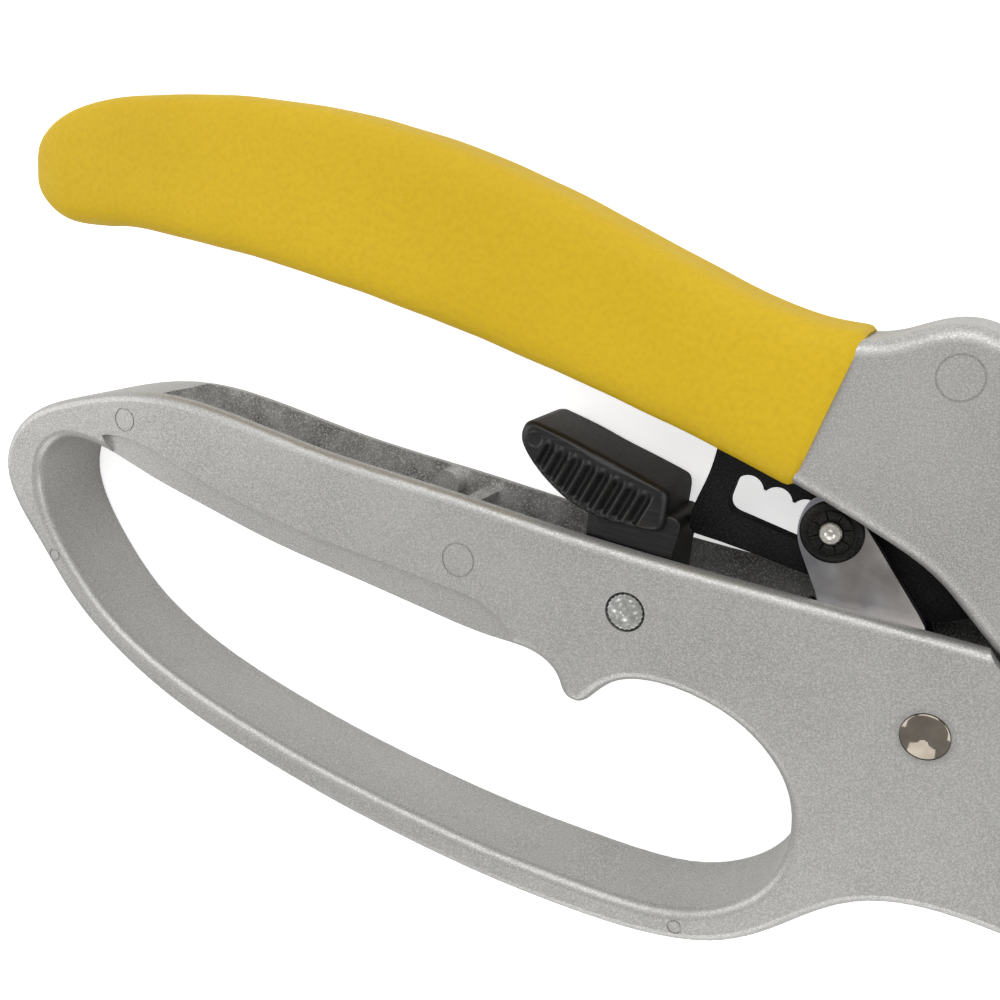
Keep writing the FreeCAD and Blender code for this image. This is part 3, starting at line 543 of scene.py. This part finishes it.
nylon = black_nylon()
PAD_AROUND, PAD_RINGS = 320, 56
pad_points = thumb_pad(PAD_AROUND, PAD_RINGS)
pad = piece_from("thumb_pad", in_frame(pad_points), grid_faces(len(pad_points), PAD_AROUND),
                 nylon, sharp=40.0)
fixed(pad, "catch", "black_plastic", "lock_catch")

STEM_EDGE = [(-42.3, 16.4), (-42.25, 14.2), (-42.1, 12), (-41.5, 10.2), (-40.4, 8.6),
             (-39.8, 6.4), (-39.5, 4.2), (-38.8, 2.6), (-37.5, 1.4), (-35.2, 0.75),
             (-32.7, 1.4), (-31.5, 3), (-31.25, 5), (-31.2, 7), (-31.2, 10), (-31.2, 13),
             (-31.2, 16.4), (-35, 16.5), (-38.6, 16.5)]
STEM_HALF, STEM_EASE, STEM_AROUND = 4.4, 0.35, 160
BORE_PLACE, BORE_RAD = np.array([-35.2, 4.8]), 1.9


def stem(around):
    """A flat bar with a bore: the section runs round the eased outer edge and back up
    the bore, and is carried round the outline along spokes from the bore's axis."""
    edge = smooth_line(STEM_EDGE + STEM_EDGE[:1], around + 1)[:-1]
    spoke = (edge - BORE_PLACE) / np.linalg.norm(edge - BORE_PLACE, axis=1)[:, None]
    curl = np.linspace(0, np.pi / 2, 5)
    inset = np.concatenate([STEM_EASE * (1 - np.sin(curl)), STEM_EASE * (1 - np.cos(curl))])
    high = np.concatenate([STEM_HALF - STEM_EASE * (1 - np.cos(curl)),
                           -STEM_HALF + STEM_EASE * (1 - np.sin(curl))])
    outer = edge[None] - spoke[None] * inset[:, None, None]
    bore = np.broadcast_to(BORE_PLACE + BORE_RAD * spoke, (2,) + edge.shape)
    outline = np.concatenate([outer, bore])
    level = np.concatenate([high, [-STEM_HALF, STEM_HALF]])[:, None, None]
    return np.concatenate([outline, np.broadcast_to(level, outline.shape[:2] + (1,))], axis=2)


stem_points = stem(STEM_AROUND)
stem_piece = piece_from("catch_stem", in_frame(stem_points),
                        grid_faces(len(stem_points), STEM_AROUND, True), nylon, sharp=50.0)
fixed(stem_piece, "catch", "black_plastic", "lock_catch")

# ---- Catch pin ----
# A steel pin pressed through both cheeks. Its knurled head sits level with the paint
# and its end has been staked with a ring punch.
catch_place = np.array(joint["catch_tip"]["pos_m"])


def turned(name, centre, profile, material, around, shape=None):
    """A profile of (radius, height) in millimetres carried round an upright axis. Both ends
    of the profile lie on the axis. shape, if given, changes radius and height by angle."""
    radius, height = np.array(profile, float).T
    turn = np.linspace(0, 2 * np.pi, around, endpoint=False)
    radius, height = radius[:, None] + 0 * turn, height[:, None] + 0 * turn
    if shape:
        radius, height = shape(radius, height, turn[None, :])
    points = np.stack([radius * np.cos(turn), radius * np.sin(turn), height], axis=-1)
    points = points.reshape(-1, 3) * MM + np.array([centre[0], centre[1], 0.0])
    return piece_from(name, points, grid_faces(len(profile), around), material, sharp=35.0)


def turned_steel(name, dark, light, roughness):
    """Machined steel or alloy: small stains of tone, and a fine grain in the roughness
    and the surface."""
    made, tree, shader = finish_of(name, roughness, metallic=1.0)
    grain = grained(tree, grains=2600.0, patches=700.0)
    tree.links.new(blend_colour(tree, grain["Tone"], dark, light), shader.inputs["Base Color"])
    tree.links.new(spread(tree, grain["Speck"], 0.0, 1.0, first=roughness * 0.75,
                          last=roughness * 1.35), shader.inputs["Roughness"])
    bumped(tree, shader, grain["Height"], depth=0.012 * MM, strength=0.5)
    return made


FACE = face_height / MM
KNURLS, KNURL_DEPTH, KNURL_START, KNURL_WIDTH = 22, 0.05, 1.4, 0.8
PUNCHES, PUNCH_TURN, PUNCH_DEPTH, PUNCH_RAD, PUNCH_WIDTH = 5, 0.7, 0.09, 1.35, 0.55
PIN_AROUND = 176


def knurl(radius, height, turn):
    """Teeth on the rim, where the radius falls by up to 5% as |sin| of the angle, and
    shallow dents round the face, as cos of five times the angle."""
    rim = np.clip((radius - KNURL_START) / KNURL_WIDTH, 0, 1)
    wave = np.abs(np.sin(turn * KNURLS / 2))
    ring = np.clip(1 - np.abs(radius - PUNCH_RAD) / PUNCH_WIDTH, 0, 1)
    dent = ring * PUNCH_DEPTH * np.cos(turn * PUNCHES + PUNCH_TURN)
    return radius * (1 - KNURL_DEPTH * rim * wave), height - np.where(height > 2, dent, 0)


pin_profile = [(0, 0.05), (1.5, 0.05), (1.8, 0.35), (1.8, FACE - 1.3), (2.1, FACE - 1.2),
               (2.32, FACE - 1.0), (2.32, FACE - 0.3), (2.2, FACE - 0.08), (1.9, FACE - 0.02),
               (1.6, FACE - 0.06), (1.35, FACE - 0.1), (1.1, FACE - 0.08), (0.8, FACE - 0.03),
               (0.55, FACE), (0.45, FACE - 0.12), (0.2, FACE - 0.16), (0, FACE - 0.16)]
knurled = turned("knurled_pin", catch_place, pin_profile,
                 turned_steel("knurled_steel", (0.42, 0.42, 0.40), (0.66, 0.66, 0.64), 0.34),
                 PIN_AROUND, knurl)
fixed(knurled, "lower_handle", "knurled_steel", "catch_pin")

# ---- Ratchet plate ----
# A plate punched from 2 mm steel and blackened, with the scalloped window that the pin
# climbs. Two rivets hold it in the upper handle's slot.


def black_metal(name, dark, light, roughness):
    """A matt blackened surface with a fine dust of lighter specks."""
    made, tree, shader = finish_of(name, roughness, metallic=0.0, specular=0.12)
    grain = grained(tree, grains=3800.0, patches=230.0)
    colour = blend_colour(tree, grain["Tone"], dark, light)
    colour = blend_colour(tree, sums(tree, "MULTIPLY", grain["Speck"], 0.08), colour,
                          (0.16, 0.15, 0.14))
    tree.links.new(colour, shader.inputs["Base Color"])
    tree.links.new(spread(tree, grain["Tone"], 0.0, 1.0, first=roughness * 0.85,
                          last=roughness * 1.2), shader.inputs["Roughness"])
    bumped(tree, shader, grain["Height"], depth=0.012 * MM, strength=0.5)
    return made


blackened = black_metal("blackened_steel", (0.0025, 0.0025, 0.003), (0.006, 0.006, 0.0065),
                        0.5)
ratchet = eased("ratchet_blank", "ratchet_plate", 0.12 * MM, blackened)
fixed(ratchet, "upper_handle", "black_steel", "ratchet_plate")

# ---- Link plates ----
# A pair of bent, zinc-plated steel plates that turn on the big rivet. The plating is
# bright with cloudy patches and a breath of yellow and blue.


def zinc_plate():
    """Bright zinc: a cloudy tone and roughness, and faint passivation tints."""
    made, tree, shader = finish_of("zinc_plate", roughness=0.3, metallic=1.0)
    grain = grained(tree, grains=2200.0, patches=260.0)
    tint = node(tree, "TexNoise")
    tint.inputs["Scale"].default_value = 70.0
    tree.links.new(node(tree, "TexCoord").outputs["Object"], tint.inputs["Vector"])
    colour = blend_colour(tree, grain["Tone"], (0.19, 0.185, 0.185), (0.33, 0.325, 0.325))
    hue = blend_colour(tree, spread(tree, tint.outputs["Fac"], 0.4, 0.6),
                       (0.36, 0.31, 0.27), (0.27, 0.30, 0.36))
    tree.links.new(blend_colour(tree, 0.35, colour, hue), shader.inputs["Base Color"])
    tree.links.new(spread(tree, grain["Tone"], 0.0, 1.0, first=0.22, last=0.4),
                   shader.inputs["Roughness"])
    bumped(tree, shader, grain["Height"], depth=0.01 * MM, strength=0.5)
    return made


zinc = zinc_plate()
for side in ("near", "far"):
    half_link = eased("link_plate_" + side, "link_" + side, 0.14 * MM, zinc)
    fixed(half_link, "link", "zinc_steel", "link_" + side)

# ---- Ratchet pin and its push-on caps ----
# A short bright pin, dimpled at its ends, held by black spring-steel star caps whose
# inner edge is slit into teeth that bite the pin.
push_low, push_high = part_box("ratchet_pin")
push_place = [(low + high) / 2 for low, high in zip(push_low, push_high)]
push_rad = (push_high[0] - push_low[0]) / 2 / MM
low_end, high_end = push_low[2] / MM, push_high[2] / MM
bright = turned_steel("bright_steel", (0.50, 0.48, 0.44), (0.70, 0.68, 0.62), 0.34)
push_profile = [(0, low_end + 0.25), (0.4, low_end + 0.2), (0.8, low_end), (1.1, low_end),
                (push_rad, low_end + 0.2), (push_rad, high_end - 0.2), (1.1, high_end),
                (0.62, high_end), (0.5, high_end - 0.12), (0.25, high_end - 0.22),
                (0, high_end - 0.22)]
fixed(turned("ratchet_stud", push_place, push_profile, bright, around=64), "link",
      "bright_steel", "ratchet_pin")

CAP_TEETH, TOOTH_STEPS = 8, 24
SLIT_WIDTH, SLIT_DEPTH, SLIT_REACH, SLIT_RAMP = 0.05, 0.4, 2.45, 0.3
cap_black = black_metal("cap_black", (0.003, 0.003, 0.003), (0.008, 0.0075, 0.007), 0.36)


def star_cap(name, cad_node, outward):
    """A dished ring: the section goes round a loop from the bore, over the raised inner
    teeth, down to the flat rim and back underneath, and radial slits part the teeth."""
    low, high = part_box(cad_node)
    edge = (high[0] - low[0]) / 2 / MM
    base, top = (low[2], high[2]) if outward > 0 else (high[2], low[2])
    rise = abs(top - base) / MM
    loop = np.array([(1.30, 0.30), (1.34, 0.62), (1.55, 0.80), (1.9, 0.92), (2.2, 0.98),
                     (2.42, 0.96), (2.52, 0.80), (2.6, 0.70), (2.9, 0.68), (3.2, 0.60),
                     (3.42, 0.42), (edge, 0.25), (edge, 0.08), (3.45, 0.0), (2.4, 0.0),
                     (1.45, 0.0), (1.3, 0.1)])
    turn = np.linspace(0, 2 * np.pi, CAP_TEETH * TOOTH_STEPS, endpoint=False)[None, :]
    radius, height = loop[:, :1] + 0 * turn, loop[:, 1:] + 0 * turn
    phase = (turn * CAP_TEETH / (2 * np.pi)) % 1.0
    slit = np.clip(1 - np.abs(phase - 0.5) / SLIT_WIDTH, 0, 1)
    toothed = np.clip((SLIT_REACH - radius) / SLIT_RAMP, 0, 1) * (height > 0.25)
    height = height - SLIT_DEPTH * slit * toothed
    points = np.stack([radius * np.cos(turn), radius * np.sin(turn),
                       outward * height * rise], axis=-1).reshape(-1, 3) * MM
    centre = np.array([(low[0] + high[0]) / 2, (low[1] + high[1]) / 2, base])
    cap = piece_from(name, points + centre, grid_faces(len(loop), turn.size, True),
                     cap_black, sharp=30.0)
    return fixed(cap, "link", "black_cap", cad_node)


star_cap("star_cap_near", "pin_cap_near", 1)
star_cap("star_cap_far", "pin_cap_far", -1)

# ---- Link rivet ----
# A nickel-plated rivet set flush in the lower casting: a shallow polished cone with a
# small nub where the lathe left it.


def nickel():
    """Mirror nickel with the faintest clouding."""
    made, tree, shader = finish_of("nickel", roughness=0.07, metallic=1.0)
    grain = grained(tree, grains=900.0, patches=500.0)
    tree.links.new(blend_colour(tree, grain["Tone"], (0.22, 0.19, 0.155), (0.31, 0.275, 0.23)),
                   shader.inputs["Base Color"])
    tree.links.new(spread(tree, grain["Speck"], 0.0, 1.0, first=0.06, last=0.14),
                   shader.inputs["Roughness"])
    return made


rivet_profile = [(0, 0), (2.3, 0), (2.58, 0.15), (2.58, 0.6), (1.98, 0.62),
                 (1.98, FACE - 0.4), (2.56, FACE - 0.35), (2.6, FACE - 0.1),
                 (2.58, FACE + 0.02), (2.48, FACE + 0.09), (1.6, FACE + 0.3),
                 (0.8, FACE + 0.48), (0.36, FACE + 0.56), (0.3, FACE + 0.58),
                 (0.22, FACE + 0.62), (0.1, FACE + 0.64), (0, FACE + 0.645)]
fixed(turned("polished_rivet", rivet_place, rivet_profile, nickel(), around=128),
      "lower_handle", "nickel_rivet", "link_rivet")
wear("link_bush", bright)
wear("plate_rivets", bright)
wear("blade_washers", bright)

# ---- Link spring ----
# A small torsion spring of bright wire round the link's bush. One leg lies along the
# channel floor and the other hooks round the rear edge of the link.


COIL_RAD, COIL_TURNS, COIL_START = 3.62, 4.45, math.radians(225)
COIL_LOW, COIL_RISE, COIL_STEPS = -1.9, 3.2, 260
WIRE_RAD, WIRE_SIDES = 0.38, 14


def wire_along(path, radius, sides):
    """A round wire: circles of a radius across a path, square to it at every point."""
    ahead = np.gradient(path, axis=0)
    ahead /= np.linalg.norm(ahead, axis=1)[:, None]
    aside = np.cross(ahead, [0.31, 0.17, 0.93])
    aside /= np.linalg.norm(aside, axis=1)[:, None]
    third = np.cross(ahead, aside)
    turn = np.linspace(0, 2 * np.pi, sides, endpoint=False)[None, :, None]
    circle = np.cos(turn) * aside[:, None] + np.sin(turn) * third[:, None]
    return path[:, None, :] + radius * circle


coil_turn = np.linspace(0, 1, COIL_STEPS)
coil_angle = COIL_START - coil_turn * COIL_TURNS * 2 * np.pi
coil_path = np.stack([COIL_RAD * np.cos(coil_angle), COIL_RAD * np.sin(coil_angle),
                      COIL_LOW + coil_turn * COIL_RISE], axis=1)
leg_one = np.linspace((-11.2, -1.7, COIL_LOW), (-3.2, -2.9, COIL_LOW), 12)
leg_two = smooth_line([tuple(coil_path[-1]), (-6.5, 5.0, 1.45), (-14.6, 9.9, 1.5),
                       (-15.3, 10.4, 1.9), (-15.4, 10.5, 3.0), (-15.3, 10.4, 4.2)], 60)[1:]
wire_path = np.concatenate([leg_one, coil_path, leg_two])
wire_grid = wire_along(wire_path, WIRE_RAD, WIRE_SIDES)
first_end = list(range(WIRE_SIDES))[::-1]
last_end = list(range((len(wire_path) - 1) * WIRE_SIDES, len(wire_path) * WIRE_SIDES))
wire_faces = grid_faces(len(wire_path), WIRE_SIDES) + [first_end, last_end]
spring_steel = turned_steel("spring_steel", (0.50, 0.45, 0.36), (0.70, 0.64, 0.52), 0.28)
spring = piece_from("spring_wire", in_frame(wire_grid), wire_faces, spring_steel, sharp=50.0)
fixed(spring, "lower_handle", "spring_wire", "link_spring")

# ---- Blade ----
# Hardened steel with a black non-stick coating, ground bright along its cutting edge. It
# turns on the main pivot, and its tang runs back into the upper handle's heel.
pivot_place = np.array(joint["blade_close"]["pos_m"])
BLADE_OPEN, EDGE_RAKE = 25.06, 2.77
GROUND_BELOW, GROUND_FROM = -6.6, 17.0


def coated_blade():
    """Black coating, and ground steel within a few millimetres of the edge. The distance
    is measured square to the edge line, which leans with the blade open at rest."""
    made, tree, shader = finish_of("coated_blade", roughness=0.38, metallic=0.3)
    grain = grained(tree, grains=3000.0, patches=120.0)
    along, up, _ = place_parts(tree)
    pivot_along, pivot_up = ((pivot_place - rivet_place)[:2] / MM).tolist()
    lean = math.radians(BLADE_OPEN - EDGE_RAKE)
    reach = sums(tree, "SUBTRACT", along, pivot_along)
    level = sums(tree, "SUBTRACT",
                 sums(tree, "MULTIPLY", sums(tree, "SUBTRACT", up, pivot_up), math.cos(lean)),
                 sums(tree, "MULTIPLY", reach, math.sin(lean)))
    ground = sums(tree, "MULTIPLY", sums(tree, "LESS_THAN", level, GROUND_BELOW),
                  sums(tree, "GREATER_THAN", reach, GROUND_FROM))
    colour = blend_colour(tree, grain["Tone"], (0.012, 0.012, 0.013), (0.024, 0.024, 0.025))
    colour = blend_colour(tree, ground, colour, (0.62, 0.62, 0.61))
    tree.links.new(colour, shader.inputs["Base Color"])
    tree.links.new(spread(tree, ground, 0.0, 1.0, first=0.3, last=1.0),
                   shader.inputs["Metallic"])
    tree.links.new(spread(tree, ground, 0.0, 1.0, first=0.42, last=0.25),
                   shader.inputs["Roughness"])
    bumped(tree, shader, grain["Height"], depth=0.012 * MM, strength=0.4)
    return made


blade = eased("ground_blade", "blade", 0.16 * MM, coated_blade())
fixed(blade, "blade", "coated_blade", "blade")

# ---- Anvil strip ----
# A strip of soft milled aluminium for the blade to close on. It sits in the lower jaw
# and two cross pins hold it.
milled = turned_steel("milled_alloy", (0.60, 0.60, 0.60), (0.80, 0.80, 0.79), 0.38)
fixed(eased("anvil_strip", "anvil", 0.25 * MM, milled), "lower_handle", "bright_alloy", "anvil")
wear("anvil_pins", bright)

# ---- Main pivot ----
# A hexagon-headed bolt through the head, with a plain washer and a nut sunk in the
# far cheek. All three are plated steel.
HEX_FLATS, HEAD_HEIGHT, BOLT_AROUND = 5.65, 2.6, 144


def hexagonal(flats):
    """Six flats: beyond the flats' distance the radius is cut back along straight sides."""
    def shape(radius, height, turn):
        corner = (turn + np.pi / 6) % (np.pi / 3) - np.pi / 6
        return np.minimum(radius, flats / np.cos(corner)), height
    return shape


bolt_low, bolt_high = (corner[2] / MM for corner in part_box("pivot_bolt"))
head_low = bolt_high - HEAD_HEIGHT
bolt_profile = [(0, bolt_low), (3.4, bolt_low), (3.98, bolt_low + 0.5), (3.98, head_low - 0.1),
                (5.0, head_low), (6.2, head_low + 0.02), (6.45, head_low + 0.25),
                (6.45, bolt_high - 0.9), (6.0, bolt_high - 0.35), (5.3, bolt_high - 0.08),
                (4.2, bolt_high), (3.6, bolt_high - 0.05), (3.3, bolt_high - 0.3),
                (0.4, bolt_high - 0.42), (0, bolt_high - 0.42)]
plated = turned_steel("plated_bolt", (0.50, 0.50, 0.51), (0.60, 0.60, 0.61), 0.34)
fixed(turned("hex_bolt", pivot_place, bolt_profile, plated, BOLT_AROUND,
             hexagonal(HEX_FLATS)), "lower_handle", "zinc_steel", "pivot_bolt")
fixed(eased("pivot_nut_eased", "pivot_nut", 0.35 * MM, plated), "lower_handle", "zinc_steel",
      "pivot_nut")
fixed(eased("washer_eased", "pivot_washer", 0.15 * MM, plated), "lower_handle", "zinc_steel",
      "pivot_washer")

# ---- Handle pin ----
# A plain steel pin through the upper handle's heel and the blade's tang. Its ends are
# crowned and lie level with the casting.
heel_place = np.array(joint["handle_squeeze"]["pos_m"])
pin_low, pin_high = (corner[2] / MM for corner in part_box("handle_pin"))
heel_profile = [(0, pin_low), (1.9, pin_low + 0.05), (2.35, pin_low + 0.25),
                (2.48, pin_low + 0.6), (2.48, pin_high - 0.6), (2.35, pin_high - 0.25),
                (1.9, pin_high - 0.05), (0.5, pin_high), (0, pin_high)]
fixed(turned("crowned_pin", heel_place, heel_profile, bright, around=80), "upper_handle",
      "bright_steel", "handle_pin")
